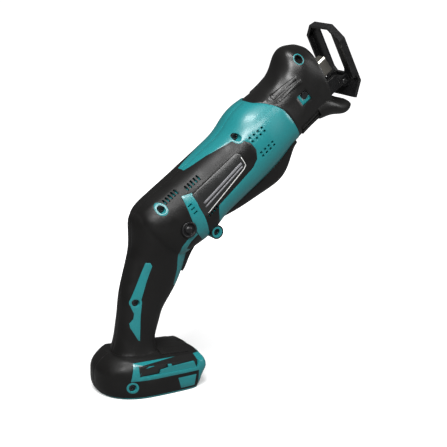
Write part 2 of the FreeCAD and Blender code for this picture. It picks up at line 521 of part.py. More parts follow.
brushes = [box((139.5, 145.5), (min(s * brush_y[0], s * brush_y[1]), max(s * brush_y[0], s * brush_y[1])),
               (MOTOR_AXIS - 2.5, MOTOR_AXIS + 2.5), BARREL) for s in (-1, 1)]
save("carbon_brushes", Part.makeCompound(brushes))
PINION_U = (212.0, 222.8)
shaft = union([rod(SHAFT_REAR_R, (BELL_REAR + 1.5, 0, MOTOR_AXIS), 12, (1, 0, 0), BARREL),
               rod(SHAFT_R, (137, 0, MOTOR_AXIS), 69, (1, 0, 0), BARREL),
               rod(SHAFT_NOSE_R, (205, 0, MOTOR_AXIS), PINION_U[1] - 205, (1, 0, 0), BARREL)])
save("rotor_shaft", shaft)
save("commutator", tube(COMMUTATOR_R, SHAFT_R, (138, 0, MOTOR_AXIS), 9, (1, 0, 0), BARREL))
armature = tube(bore_r - AIR, SHAFT_R, (CAN_REAR + 5, 0, MOTOR_AXIS), 26, (1, 0, 0), BARREL)
slots = [placed(Part.makeBox(40, 1.6, 6, V(CAN_REAR, -0.8, bore_r - AIR - 5)),
                FreeCAD.Placement(V(0, 0, MOTOR_AXIS), FreeCAD.Rotation(V(1, 0, 0), 30 * k)))
         for k in range(12)]
armature = armature.cut(placed(union(slots), BARREL))
save("armature_core", armature)
windings = [tube(11.4, SHAFT_R, (u, 0, MOTOR_AXIS), 4, (1, 0, 0), BARREL)
            for u in (CAN_REAR + 1, CAN_REAR + 31)]
save("armature_windings", Part.makeCompound(windings))
fan = union([tube(5.5, SHAFT_R, (FAN_U, 0, MOTOR_AXIS), 7, (1, 0, 0), BARREL),
             tube(FAN_R, 5.4, (FAN_U, 0, MOTOR_AXIS), 1.5, (1, 0, 0), BARREL)])
blades = [placed(Part.makeBox(5, 1.2, FAN_R - 8.4, V(FAN_U + 1.4, -0.6, 8)),
                 FreeCAD.Placement(V(0, 0, MOTOR_AXIS),
                                   FreeCAD.Rotation(V(1, 0, 0), 360.0 * k / FAN_BLADES)))
          for k in range(FAN_BLADES)]
save("cooling_fan", fan.fuse(placed(union(blades), BARREL)))

# ---------------------------------------------------------------- pinion and crank gear
def pinion_tooth(turn):
    """A tapered tooth pointing along turn, measured from straight down."""
    outline = [(PINION_R - 1.3 * MODULE, 0.64), (PINION_R - 0.2, 0.38), (PINION_R + 0.55 * MODULE, 0.2)]
    points = [(r, w) for r, w in outline] + [(r, -w) for r, w in reversed(outline)]
    flat = [V(PINION_U[0], r * math.sin(turn) + w * math.cos(turn),
              MOTOR_AXIS - r * math.cos(turn) + w * math.sin(turn)) for r, w in points]
    face = Part.Face(Part.makePolygon(flat + flat[:1]))
    return face.extrude(V(PINION_U[1] - PINION_U[0], 0, 0))


teeth = [pinion_tooth(2 * math.pi * (k + 0.5) / PINION_TEETH) for k in range(PINION_TEETH)]
pinion_core = Part.makeCylinder(PINION_R - 1.25 * MODULE, PINION_U[1] - PINION_U[0],
                                V(PINION_U[0], 0, MOTOR_AXIS), V(1, 0, 0))
pinion_bore = Part.makeCylinder(SHAFT_NOSE_R, 40, V(200, 0, MOTOR_AXIS), V(1, 0, 0))
save("pinion", placed(union([pinion_core] + teeth).cut(pinion_bore), BARREL))

CRANK_TOP = -SLIDER_TOP - 3.4
PIN_TOP = -SLIDER_TOP - 0.5
web = Part.makeCylinder(CRANK_FACE[1], TEETH_ROOT - WEB_LOW, V(CRANK_U, 0, WEB_LOW))
boss = Part.makeCylinder(CRANK_FACE[0] - 2.1, CRANK_TOP - WEB_LOW, V(CRANK_U, 0, WEB_LOW))
TOOTH_WIDE = 0.7
gear_teeth = []
for k in range(CRANK_TEETH):
    tooth = Part.makeBox(CRANK_FACE[1] - CRANK_FACE[0], TOOTH_WIDE, TEETH_TOP - TEETH_ROOT + 0.4,
                         V(CRANK_FACE[0], -TOOTH_WIDE / 2, TEETH_ROOT - 0.4))
    tooth.Placement = FreeCAD.Placement(V(CRANK_U, 0, 0),
                                        FreeCAD.Rotation(V(0, 0, 1), 180 + 360.0 * k / CRANK_TEETH))
    gear_teeth.append(tooth)
axle_bore = Part.makeCylinder(AXLE_R + RUN, 60, V(CRANK_U, 0, -40))
PIN_SIDE = math.sqrt((STROKE / 2) ** 2 - PIN_AHEAD ** 2)
pin_hole = Part.makeCylinder(CRANK_PIN_R, 60, V(CRANK_U + PIN_AHEAD, PIN_SIDE, WEB_LOW + 1))
crank = union([web, boss] + gear_teeth).cut(axle_bore).cut(pin_hole)
save("crank_gear", placed(crank, BARREL))
crank_pin = Part.makeCylinder(CRANK_PIN_R, PIN_TOP - WEB_LOW - 1,
                              V(CRANK_U + PIN_AHEAD, PIN_SIDE, WEB_LOW + 1))
crank_pin = crank_pin.cut(axle_bore)
save("crank_pin", placed(crank_pin, BARREL))

# ---------------------------------------------------------------- slider and blade clamp
YOKE_U = CRANK_U + PIN_AHEAD
bar = box((YOKE_U, SLIDER_TIP), (-SLIDER_HALF, SLIDER_HALF), (-SLIDER_TOP, SLIDER_TOP), BARREL)
edges = [e for e in bar.Edges if e.Length > 50]
bar = bar.makeChamfer(1.6, edges)
yoke = box((YOKE_U - YOKE_LONG / 2, YOKE_U + YOKE_LONG / 2), (-YOKE_WIDE / 2, YOKE_WIDE / 2),
           (-SLIDER_TOP, -1), BARREL)
pin_slot = box((YOKE_U - CRANK_PIN_R - FIT, YOKE_U + CRANK_PIN_R + FIT),
               (-STROKE / 2 - CRANK_PIN_R - 1, STROKE / 2 + CRANK_PIN_R + 1), (-12, 12), BARREL)
CLAMP_U = 319.0
slit = box((CLAMP_U - 14, 340), (-BLADE_SLIT / 2, BLADE_SLIT / 2), (-SLIDER_TOP + 3, SLIDER_TOP - 3),
           BARREL)
BLADE_BOLT_R = 2.5
bolt_bore = rod(BLADE_BOLT_R, (CLAMP_U, -2.5, 0), 20, (0, 1, 0), BARREL)
slider = bar.fuse(yoke).cut(union([pin_slot, slit, bolt_bore]))
save("slider", slider)
CLAMP_THICK = 2.6
clamp = box((CLAMP_U - 8, CLAMP_U + 7), (SLIDER_HALF, SLIDER_HALF + CLAMP_THICK), (-7, 7), BARREL)
save("blade_clamp_plate", clamp.cut(bolt_bore))
hexagon = [V(CLAMP_U + 4.6 * math.cos(math.pi * k / 3), SLIDER_HALF + CLAMP_THICK,
             4.6 * math.sin(math.pi * k / 3)) for k in range(7)]
bolt_head = placed(Part.Face(Part.makePolygon(hexagon)).extrude(V(0, 3.4, 0)), BARREL)
bolt_stem = rod(BLADE_BOLT_R, (CLAMP_U, -2.5, 0), 2.5 + SLIDER_HALF + CLAMP_THICK, (0, 1, 0), BARREL)
save("blade_clamp_bolt", bolt_head.fuse(bolt_stem))

# ---------------------------------------------------------------- shoe and its bracket
KNUCKLE_R = 4.6
KNUCKLE_HALF = 8.0
CHEEK_TOP = -11.0            # h of the bracket's two upright cheeks
plate = box((BRACKET_REAR, PIVOT[0]), (-BRACKET_WIDTH / 2, BRACKET_WIDTH / 2), bracket_h, BARREL)
knuckle = rod(KNUCKLE_R, (PIVOT[0], -KNUCKLE_HALF, PIVOT[1]), 2 * KNUCKLE_HALF, (0, 1, 0), BARREL)
pin_bore = rod(PIN_R + 0.05, (PIVOT[0], -40, PIVOT[1]), 80, (0, 1, 0), BARREL)
ear_room = union([box((PIVOT[0] - 7, PIVOT[0] + 10), (min(s * (KNUCKLE_HALF), s * 30),
                                                     max(s * (KNUCKLE_HALF), s * 30)),
                      (-60, 60), BARREL) for s in (-1, 1)])
cheeks = [box((NOSE_FACE + 2, PIVOT[0] - 5.6), (min(s * KNUCKLE_HALF, s * BRACKET_WIDTH / 2),
                                               max(s * KNUCKLE_HALF, s * BRACKET_WIDTH / 2)),
              (bracket_h[0], CHEEK_TOP), BARREL) for s in (-1, 1)]
save("shoe_bracket", plate.cut(ear_room).fuse([knuckle] + cheeks).cut(pin_bore))
EAR_IN = KNUCKLE_HALF + GAP
EAR_THICK = 2.8
pin = rod(PIN_R, (PIVOT[0], -EAR_IN - EAR_THICK - 0.8, PIVOT[1]), 2 * (EAR_IN + EAR_THICK + 0.8),
          (0, 1, 0), BARREL)
save("shoe_pin", pin)


def shoe_face(inset, low):
    """The plate's outline in its own plane, chamfered at the top corners."""
    half, top, cut = SHOE_WIDTH / 2 - inset, SHOE_TALL - inset, SHOE_CHAMFER - 0.42 * inset
    corners = [(-half, low), (half, low), (half, top - cut), (half - cut, top),
               (cut - half, top), (-half, top - cut)]
    points = [V(0, y, s) for y, s in corners]
    return Part.Face(Part.makePolygon(points + points[:1]))


shoe_plate = shoe_face(0, 0).extrude(V(-SHOE_THICK, 0, 0))
flange = shoe_face(0, 7).extrude(V(-SHOE_FLANGE, 0, 0))
flange = flange.cut(shoe_face(SHOE_THICK, -5).extrude(V(-SHOE_FLANGE, 0, 0)))
slot_low, slot_high = 7.0, SHOE_TALL - 5.5
slot_half = SHOE_SLOT / 2
slot_points = [(-slot_half + 3, slot_low), (slot_half - 3, slot_low), (slot_half, slot_low + 5),
               (slot_half, slot_high - 1), (slot_half - 1, slot_high), (1 - slot_half, slot_high),
               (-slot_half, slot_high - 1), (-slot_half, slot_low + 5)]
slot_wire = [V(5, y, s) for y, s in slot_points]
blade_slot = Part.Face(Part.makePolygon(slot_wire + slot_wire[:1])).extrude(V(-20, 0, 0))
shoe_top = placed(shoe_plate.fuse(flange).cut(blade_slot), SHOE)
TAIL_LONG = 17.0
TAIL_LEAN = -130.0
TAIL_HALF = 22.5
tail_frame = BARREL.multiply(FreeCAD.Placement(V(SHOE_FOOT[0], 0, SHOE_FOOT[1]),
                                               FreeCAD.Rotation(V(0, 1, 0), -TAIL_LEAN)))
tail_points = [V(-0.6, -SHOE_WIDTH / 2, 0), V(-0.6, SHOE_WIDTH / 2, 0),
               V(TAIL_LONG, TAIL_HALF, 0), V(TAIL_LONG, -TAIL_HALF, 0)]
tail = Part.Face(Part.makePolygon(tail_points + tail_points[:1])).extrude(V(0, 0, -SHOE_THICK))
tail = placed(tail, tail_frame)
ears = []
for side in (-1, 1):
    y = (min(side * EAR_IN, side * (EAR_IN + EAR_THICK)), max(side * EAR_IN, side * (EAR_IN + EAR_THICK)))
    ear = prism([(PIVOT[0] - 3, PIVOT[1] + 4), (PIVOT[0] + 1, PIVOT[1] + 5.2), (338.6, -19),
                 (337.4, -25.2), (334.6, -29), (PIVOT[0] - 1, PIVOT[1] - 5), (PIVOT[0] - 4.4, PIVOT[1])],
                y, BARREL)
    ears.append(ear.fuse(rod(5.0, (PIVOT[0], y[0], PIVOT[1]), EAR_THICK, (0, 1, 0), BARREL)))
pin_fit = rod(PIN_R, (PIVOT[0], -40, PIVOT[1]), 80, (0, 1, 0), BARREL)
knuckle_room = rod(KNUCKLE_R + GAP, (PIVOT[0], -EAR_IN, PIVOT[1]), 2 * EAR_IN, (0, 1, 0), BARREL)
save("shoe", union([shoe_top, tail] + ears).cut(union([pin_fit, knuckle_room])))

# ---------------------------------------------------------------- trigger, switch, button
front_points = [V(0.4, 0, -12.4), V(1.4, 0, -9), V(2.5, 0, 0), V(4.2, 0, 9), V(6.9, 0, 16.6)]
front_curve = Part.BSplineCurve()
front_curve.interpolate(front_points)
back = Part.makePolygon([front_points[-1], V(-8, 0, 16.6), V(-8, 0, -12.4), front_points[0]])
lever = Part.Face(Part.Wire([front_curve.toShape()] + back.Edges)).extrude(V(0, TRIGGER_WIDTH, 0))
lever.translate(V(0, -TRIGGER_WIDTH / 2, 0))
STEM_R = 3.0
stem = Part.makeCylinder(STEM_R, 10, V(-17, 0, 0), V(1, 0, 0))
save("trigger", placed(lever.fuse(stem), TRIGGER))
SWITCH_FACE = -8 - TRIGGER_TRAVEL - 1.0
switch = box((SWITCH_FACE - 20, SWITCH_FACE), (-9.5, 9.5), (-13, 13), TRIGGER)
switch = switch.cut(rod(STEM_R + FIT, (SWITCH_FACE - 9.5, 0, 0), 10, (1, 0, 0), TRIGGER))
save("switch_body", switch)
BUTTON_SURFACE = 29.4
button = rod(BUTTON_R, (BUTTON_AT[0], -BUTTON_SURFACE - 2.2, BUTTON_AT[1]),
             2 * BUTTON_SURFACE + 4.4 - BUTTON_TRAVEL, (0, 1, 0))
waist = tube(BUTTON_R + 1, BUTTON_R - 2, (BUTTON_AT[0], -10, BUTTON_AT[1]), 16, (0, 1, 0))
save("lock_off_button", button.cut(waist))

# ---------------------------------------------------------------- foot electrics
FLOOR_TOP = BAY_HEIGHT + WALL
save("controller_board", box((-18, 26), (-22, 22), (FLOOR_TOP + 2, FLOOR_TOP + 3.6)))
board_posts = [box((x, x + 4), (y, y + 4), (FLOOR_TOP, FLOOR_TOP + 2)) for x in (-18, 22) for y in (-22, 18)]
capacitors = [rod(4.5, (x, 10, FLOOR_TOP + 3.6), 8, (0, 0, 1)) for x in (-8, 4)]
chips = [box((-12, 16), (-15, -3), (FLOOR_TOP + 3.6, FLOOR_TOP + 7))]
save("board_components", Part.makeCompound(board_posts + capacitors + chips))
TERMINAL_HALF = 14.0
terminal = union([box((BAY_REAR, BAY_REAR + 7), (-TERMINAL_HALF, TERMINAL_HALF), (2, BAY_HEIGHT)),
                  box((BAY_REAR, BAY_REAR + 26), (-TERMINAL_HALF, TERMINAL_HALF),
                      (BAY_HEIGHT - 2.5, BAY_HEIGHT))])
CONTACTS = (-9.0, -3.0, 3.0, 9.0)
contact_slots = [box((BAY_REAR + 6, BAY_REAR + 24), (y - 0.5, y + 0.5), (4, BAY_HEIGHT - 1))
                 for y in CONTACTS]
save("terminal_block", terminal.cut(union(contact_slots)))
save("terminal_contacts", Part.makeCompound(contact_slots))
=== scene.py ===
# %% [markdown]
# # A cordless reciprocating saw, dressed for its portrait
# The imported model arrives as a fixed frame: every casting, shell and screw is already in place and
# at its real size in metres. These cells give each piece its finish, round its edges, add the fine
# relief that moulded parts carry, and set up a small white studio.
#
# The frame could be rebuilt by hand in Blender, but then nothing would promise that the trigger
# still fits its slot. Keeping the engineering model and working only on its surface is safer.

# %% Load the frame
import json
import math

import bmesh
import bpy
from mathutils import Matrix, Vector
from mathutils.bvhtree import BVHTree


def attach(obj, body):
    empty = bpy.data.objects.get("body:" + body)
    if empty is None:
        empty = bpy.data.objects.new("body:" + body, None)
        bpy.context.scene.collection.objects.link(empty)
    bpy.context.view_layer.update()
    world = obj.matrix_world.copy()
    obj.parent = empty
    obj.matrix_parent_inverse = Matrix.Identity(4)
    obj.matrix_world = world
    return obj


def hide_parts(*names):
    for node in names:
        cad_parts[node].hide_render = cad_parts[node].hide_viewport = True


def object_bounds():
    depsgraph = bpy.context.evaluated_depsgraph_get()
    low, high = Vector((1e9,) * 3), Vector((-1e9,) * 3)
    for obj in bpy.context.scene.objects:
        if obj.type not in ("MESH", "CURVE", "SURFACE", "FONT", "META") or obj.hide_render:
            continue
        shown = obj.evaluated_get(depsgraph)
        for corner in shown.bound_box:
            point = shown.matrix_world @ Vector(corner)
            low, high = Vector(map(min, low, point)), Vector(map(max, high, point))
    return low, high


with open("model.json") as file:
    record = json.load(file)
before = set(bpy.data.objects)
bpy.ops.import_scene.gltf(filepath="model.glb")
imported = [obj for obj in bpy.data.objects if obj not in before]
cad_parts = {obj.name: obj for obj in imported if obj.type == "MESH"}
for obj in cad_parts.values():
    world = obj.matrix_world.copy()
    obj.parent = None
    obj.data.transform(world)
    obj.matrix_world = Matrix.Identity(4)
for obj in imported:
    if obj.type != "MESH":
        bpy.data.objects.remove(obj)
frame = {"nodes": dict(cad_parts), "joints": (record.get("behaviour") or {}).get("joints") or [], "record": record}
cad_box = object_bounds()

MM = 0.001
print("nodes:", len(frame["nodes"]))

# %% [markdown]
# ## Two ways of saying where something is
# The saw has two natural directions: the floor's, and the barrel's, which leans back along the
# blade's stroke. Positions along the barrel are easier to think of as u (along the stroke) and
# h (square to it, zero on the stroke line). The stroke direction is read from the slider's joint, and
# the stroke line from the crank's joint, whose centre is a given 15 mm under it, so nothing here is measured
# twice.

# %% The barrel's own directions
joints = {joint["name"]: joint for joint in frame["joints"]}
ALONG = Vector(joints["blade_stroke"]["axis"]).normalized()
ACROSS = Vector((0, 1, 0))
SQUARE = ACROSS.cross(ALONG) * -1
crank = Vector(joints["crank_spin"]["pos_m"])
CRANK_BELOW = 15 * MM      # the crank's centre is this far under the stroke line
STROKE_LINE = crank + SQUARE * CRANK_BELOW
STROKE_LINE -= ALONG * STROKE_LINE.dot(ALONG)


def barrel(u, y, h):
    """A point given along, across and square to the barrel, in millimetres."""
    return STROKE_LINE + ALONG * (u * MM) + ACROSS * (y * MM) + SQUARE * (h * MM)


def stand(x, y, z):
    """A point in the standing frame, in millimetres."""
    return Vector((x, y, z)) * MM


print("stroke direction", [round(v, 3) for v in ALONG])

# %% [markdown]
# ## A small kit for shader trees
# Shader trees are verbose to write out. Two helpers keep the later cells readable: one adds a node
# and fills its sockets by name, the other opens a node group with its named inputs and outputs.
# Doing it with node names and links, rather than with clicks, is what makes a finish repeatable.

# %% Helpers for nodes and groups
def add(tree, kind, settings=None, **sockets):
    """A new node, its settings set and its input sockets filled or linked by name."""
    node = tree.nodes.new(kind)
    for key, value in (settings or {}).items():
        setattr(node, key, value)
    for key, value in sockets.items():
        socket = node.inputs[int(key[1:])] if key[0] == "_" else node.inputs[key.replace("_", " ")]
        if isinstance(value, bpy.types.NodeSocket):
            tree.links.new(value, socket)
        else:
            socket.default_value = value
    return node


def open_group(name, inputs, outputs):
    """A node group with float inputs {label: value}; outputs maps a label to its socket kind."""
    tree = bpy.data.node_groups.new(name, "ShaderNodeTree")
    for label, value in inputs.items():
        tree.interface.new_socket(label, in_out="INPUT", socket_type="NodeSocketFloat")
        tree.interface.items_tree[-1].default_value = value
    for label, kind in outputs.items():
        tree.interface.new_socket(label, in_out="OUTPUT", socket_type=kind)
    return tree, tree.nodes.new("NodeGroupInput").outputs, tree.nodes.new("NodeGroupOutput").inputs


def math_node(tree, operation, a, b=0.0, clamp=False):
    return add(tree, "ShaderNodeMath", {"operation": operation, "use_clamp": clamp},
               _0=a, _1=b).outputs[0]


def ranged(tree, value, low, high, to_low=0.0, to_high=1.0):
    node = add(tree, "ShaderNodeMapRange", {"interpolation_type": "SMOOTHSTEP"},
               Value=value, From_Min=low, From_Max=high, To_Min=to_low, To_Max=to_high)
    return node.outputs[0]


FLOAT = "NodeSocketFloat"
print("shader helpers ready")

# %% [markdown]
# ## Effect 1: moulded grain
# Moulded plastic and rubber are never mirror smooth: the steel of the mould is etched or spark
# eroded, and the part copies it. The grain here is two layers of noise in the object's own space, one
# as fine as the etching and one five times coarser. An image would do it too, but noise has no seams
# and no resolution. Tone goes with the height, for a faint mottling in the colour.

# %% The group "moulded grain"
grain, g_in, g_out = open_group("moulded grain", {"Size": 0.0004}, {"Height": FLOAT, "Tone": FLOAT})
place = grain.nodes.new("ShaderNodeTexCoord").outputs["Object"]
per_metre = math_node(grain, "DIVIDE", 1.0, g_in["Size"])
fine = add(grain, "ShaderNodeTexNoise", Vector=place, Scale=per_metre, Detail=3.0, Roughness=0.6)
coarse = add(grain, "ShaderNodeTexNoise", Vector=place, Scale=math_node(grain, "MULTIPLY", per_metre, 0.2),
             Detail=2.0)
both = math_node(grain, "ADD", math_node(grain, "MULTIPLY", fine.outputs[0], 0.7),
                 math_node(grain, "MULTIPLY", coarse.outputs[0], 0.3))
grain.links.new(both, g_out["Height"])
grain.links.new(ranged(grain, both, 0.35, 0.65), g_out["Tone"])
print("grain nodes:", len(grain.nodes))

# %% [markdown]
# ## Effect 2: handling
# Hands leave soft patches where a surface is a little shinier or duller. They are centimetres wide
# and have no edge, so one slow noise, eased at both ends, is enough. It drives roughness much more
# than colour.

# %% The group "handling"
handling, h_in, h_out = open_group("handling", {"Patch": 0.03}, {"Mask": FLOAT})
slow = add(handling, "ShaderNodeTexNoise",
           Vector=handling.nodes.new("ShaderNodeTexCoord").outputs["Object"],
           Scale=math_node(handling, "DIVIDE", 1.0, h_in["Patch"]), Detail=4.0, Roughness=0.55,
           Distortion=0.4)
handling.links.new(ranged(handling, slow.outputs[0], 0.38, 0.66), h_out["Mask"])
print("handling nodes:", len(handling.nodes))

# %% [markdown]
# ## Effect 3: rubbed edges
# Corners are the first place to polish up or to lose their coating. The Bevel node looks up how far
# the surface turns within a small radius, and where its softened normal and the true one disagree
# there is an edge. A noise breaks the line up, because wear is never an even stripe.

# %% The group "rubbed edges"
rubbed, r_in, r_out = open_group("rubbed edges", {"Reach": 0.0005, "Breakup": 0.002}, {"Mask": FLOAT})
soft_normal = add(rubbed, "ShaderNodeBevel", {"samples": 4}, Radius=r_in["Reach"]).outputs[0]
true_normal = rubbed.nodes.new("ShaderNodeNewGeometry").outputs["Normal"]
agree = add(rubbed, "ShaderNodeVectorMath", {"operation": "DOT_PRODUCT"}, _0=soft_normal, _1=true_normal)
broken = add(rubbed, "ShaderNodeTexNoise",
             Vector=rubbed.nodes.new("ShaderNodeTexCoord").outputs["Object"],
             Scale=math_node(rubbed, "DIVIDE", 1.0, r_in["Breakup"]), Detail=3.0)
edge = ranged(rubbed, agree.outputs["Value"], 0.995, 0.93)
worn = math_node(rubbed, "MULTIPLY", edge, ranged(rubbed, broken.outputs[0], 0.42, 0.6), clamp=True)
rubbed.links.new(worn, r_out["Mask"])
print("rubbed-edge nodes:", len(rubbed.nodes))

# %% [markdown]
# ## Effect 4: drawn or milled metal
# A milled or drawn bar carries fine scratches all one way. Squeezing the noise space along the
# stroke stretches its blobs into lines. The bar leans with the barrel, so the space is first turned
# back by the barrel's tilt.

# %% The group "milled lines"
TILT = math.atan2(ALONG.z, ALONG.x)
milled, m_in, m_out = open_group("milled lines", {"Pitch": 0.0002}, {"Height": FLOAT, "Tone": FLOAT})
level = add(milled, "ShaderNodeVectorRotate", {"rotation_type": "Y_AXIS"},
            Vector=milled.nodes.new("ShaderNodeTexCoord").outputs["Object"], Angle=-TILT)
drawn = add(milled, "ShaderNodeVectorMath", {"operation": "MULTIPLY"}, _0=level.outputs[0])
drawn.inputs[1].default_value = (0.03, 1.0, 1.0)
lines = add(milled, "ShaderNodeTexNoise", Vector=drawn.outputs[0],
            Scale=math_node(milled, "DIVIDE", 1.0, m_in["Pitch"]), Detail=4.0, Roughness=0.7)
milled.links.new(lines.outputs[0], m_out["Height"])
milled.links.new(ranged(milled, lines.outputs[0], 0.3, 0.7), m_out["Tone"])
print("milled-line nodes:", len(milled.nodes))

# %% [markdown]
# ## Effect 5: resting dust
# A little dust settles on what faces up, and stays longest where nobody rubs. It only needs the
# normal's upward share and a noise.

# %% The group "resting dust"
dusty, d_in, d_out = open_group("resting dust", {"Amount": 0.1}, {"Mask": FLOAT})
upward = add(dusty, "ShaderNodeSeparateXYZ", _0=dusty.nodes.new("ShaderNodeNewGeometry").outputs["Normal"])
specks = add(dusty, "ShaderNodeTexNoise",
             Vector=dusty.nodes.new("ShaderNodeTexCoord").outputs["Object"], Scale=420.0, Detail=6.0,
             Roughness=0.75)
lying = math_node(dusty, "MULTIPLY", ranged(dusty, upward.outputs[2], 0.2, 0.95),
                  ranged(dusty, specks.outputs[0], 0.45, 0.75))
dusty.links.new(math_node(dusty, "MULTIPLY", lying, d_in["Amount"]), d_out["Mask"])
print("dust nodes:", len(dusty.nodes))

# %% [markdown]
# ## Effect 6: a black inlay, and painted shade in the foot's channel
# In a few places the shell is black where its own face is bare: a patch behind the rear ring, which is
# black moulding, and the floor and walls of the channel in the foot's side, whose black is painted shade
# for that recess. Each is a soft-edged box in the tool's own space, and the mask is the product of its
# three sides. The channel's box ends just under the outer face, so only what is sunk is painted dark.

# %% The group for the black inlay and the painted shade in the foot's channel
inlay_and_shade, i_in, i_out = open_group(
    "inlay_and_shade", {"Turn": 0.0, "Near": -1.0, "Far": 1.0, "Low": -1.0, "High": 1.0, "Depth": 1.0},
    {"Mask": FLOAT})
turned = add(inlay_and_shade, "ShaderNodeVectorRotate", {"rotation_type": "Y_AXIS"},
             Vector=inlay_and_shade.nodes.new("ShaderNodeTexCoord").outputs["Object"], Angle=i_in["Turn"])
spot = add(inlay_and_shade, "ShaderNodeSeparateXYZ", _0=turned.outputs[0])
SOFT = 0.00012


def inside(value, low, high):
    """1 between the two limits, easing to 0 just outside them."""
    above = ranged(inlay_and_shade, math_node(inlay_and_shade, "SUBTRACT", value, low), -SOFT, SOFT)
    below = ranged(inlay_and_shade, math_node(inlay_and_shade, "SUBTRACT", high, value), -SOFT, SOFT)
    return math_node(inlay_and_shade, "MULTIPLY", above, below)


deep = math_node(inlay_and_shade, "ABSOLUTE", spot.outputs[1])
within = math_node(inlay_and_shade, "MULTIPLY", inside(spot.outputs[0], i_in["Near"], i_in["Far"]),
                   inside(spot.outputs[2], i_in["Low"], i_in["High"]))
inlay_and_shade.links.new(math_node(inlay_and_shade, "MULTIPLY", within, inside(deep, -1.0, i_in["Depth"])), i_out["Mask"])
print("inlay nodes:", len(inlay_and_shade.nodes))

# %% [markdown]
# ## How a finish is put together
# Each finish is one material with one Principled shader. Its plain numbers (IOR, coat) are set on
# the shader itself. What varies over the surface comes from the effect groups: a second colour mixed
# in by a mask, roughness moving between two values, and a bump from a height.

# %% Helpers that build one finish
FINISHES = {}


def place_group(tree, group, **values):
    node = tree.nodes.new("ShaderNodeGroup")
    node.node_tree = group
    for key, value in values.items():
        node.inputs[key].default_value = value
    return node.outputs


def start_finish(slot_name, **shader):
    """A material for one slot of the record, with its shader's constant sockets set."""
    material = bpy.data.materials.new(slot_name)
    material.use_nodes = True
    tree = material.node_tree
    principled = tree.nodes["Principled BSDF"]
    for key, value in shader.items():
        principled.inputs[key.replace("_", " ")].default_value = value
    FINISHES[slot_name] = material
    return tree, principled


def two_colours(tree, mask, base, other):
    node = add(tree, "ShaderNodeMix", {"data_type": "RGBA"})
    tree.links.new(mask, node.inputs[0])
    node.inputs[6].default_value = (*base, 1)
    node.inputs[7].default_value = (*other, 1)
    return node.outputs[2]


def into(tree, principled, colour=None, roughness=None, height=None, depth=0.00002, strength=1.0):
    """Link a colour, a roughness and a bump height into the shader."""
    if colour is not None:
        tree.links.new(colour, principled.inputs["Base Color"])
    if roughness is not None:
        tree.links.new(roughness, principled.inputs["Roughness"])
    if height is not None:
        bump = add(tree, "ShaderNodeBump", Height=height, Strength=strength, Distance=depth)
        tree.links.new(bump.outputs[0], principled.inputs["Normal"])


print("finish helpers ready")

# %% [markdown]
# ## The hard shell: blue-green glass-filled nylon
# The two body halves are injection moulded in a stiff nylon. It is saturated and satin: sharp
# enough to show a window as a soft band, with a fine etched grain under it. A thin coat layer over
# a slightly rougher base gives that double highlight.

# %% Finish: hard_shell
# the rubber's own black, also used as the painted shade in the foot's channel
RUBBER_AND_SHADE_BLACK = (0.0062, 0.0060, 0.0058)
RUBBER_DUSTY = (0.020, 0.019, 0.018)
STROKE_HEIGHT = 0.1145       # the stroke line stands this far from the origin
RING_TOP, RING_REAR = STROKE_HEIGHT + 0.0221, 0.1030
# boxes for the black: the first two are the moulded black patch behind the rear ring, the third paints the shade
# in the foot's sunk channel
INLAYS_AND_SHADE = [
    {"Turn": -TILT, "Near": 0.080, "Far": 0.119, "Low": RING_TOP, "High": STROKE_HEIGHT + 0.060},
    {"Turn": -TILT, "Near": 0.080, "Far": RING_REAR, "Low": STROKE_HEIGHT + 0.008, "High": RING_TOP},
    {"Near": -0.0206, "Far": 0.0385, "Low": 0.0195, "High": 0.0312, "Depth": 0.0352}]
TEAL = (0.009, 0.172, 0.184)
TEAL_DEEP = (0.008, 0.148, 0.160)
tree, shader = start_finish("hard_shell", IOR=1.52, Coat_Weight=0.18, Coat_Roughness=0.16)
etched = place_group(tree, grain, Size=0.00035)
touched = place_group(tree, handling, Patch=0.035)
colour = two_colours(tree, etched["Tone"], TEAL, TEAL_DEEP)
# black mixed in where a box says so: moulded black at the rear, painted shade in the foot's channel
dark = 0.0
for box in INLAYS_AND_SHADE:
    dark = math_node(tree, "MAXIMUM", place_group(tree, inlay_and_shade, **box)["Mask"], dark)
inlaid_and_shaded = add(tree, "ShaderNodeMix", {"data_type": "RGBA"}, _0=dark, _6=colour, _7=(*RUBBER_AND_SHADE_BLACK, 1))
into(tree, shader, inlaid_and_shaded.outputs[2], ranged(tree, touched["Mask"], 0.0, 1.0, 0.30, 0.38),
     etched["Height"], depth=0.000012, strength=0.5)
print("hard_shell ready")

# %% [markdown]
# ## The grip: soft black elastomer
# Thermoplastic rubber is moulded over the shell wherever a hand goes. It is nearly black, warmer in
# its highlights than paint, and its grain is coarse enough to feel. Where palms rub it the grain is
# flatter and it shines, so the handling mask moves its roughness a good way.

# %% Finish: grip_rubber
tree, shader = start_finish("grip_rubber", IOR=1.5, Specular_IOR_Level=0.25)
leather = place_group(tree, grain, Size=0.00055)
touched = place_group(tree, handling, Patch=0.028)
dust = place_group(tree, dusty, Amount=0.12)
colour = two_colours(tree, dust["Mask"], RUBBER_AND_SHADE_BLACK, RUBBER_DUSTY)
into(tree, shader, colour, ranged(tree, touched["Mask"], 0.0, 1.0, 0.46, 0.34), leather["Height"],
     depth=0.00003, strength=0.5)
print("grip_rubber ready")

# %% [markdown]
# ## The nose boot: smoother rubber
# The insulating boot over the gear case is a separate rubber moulding with a polished surface. It
# shines more than the grip, in long streaks down the hump.

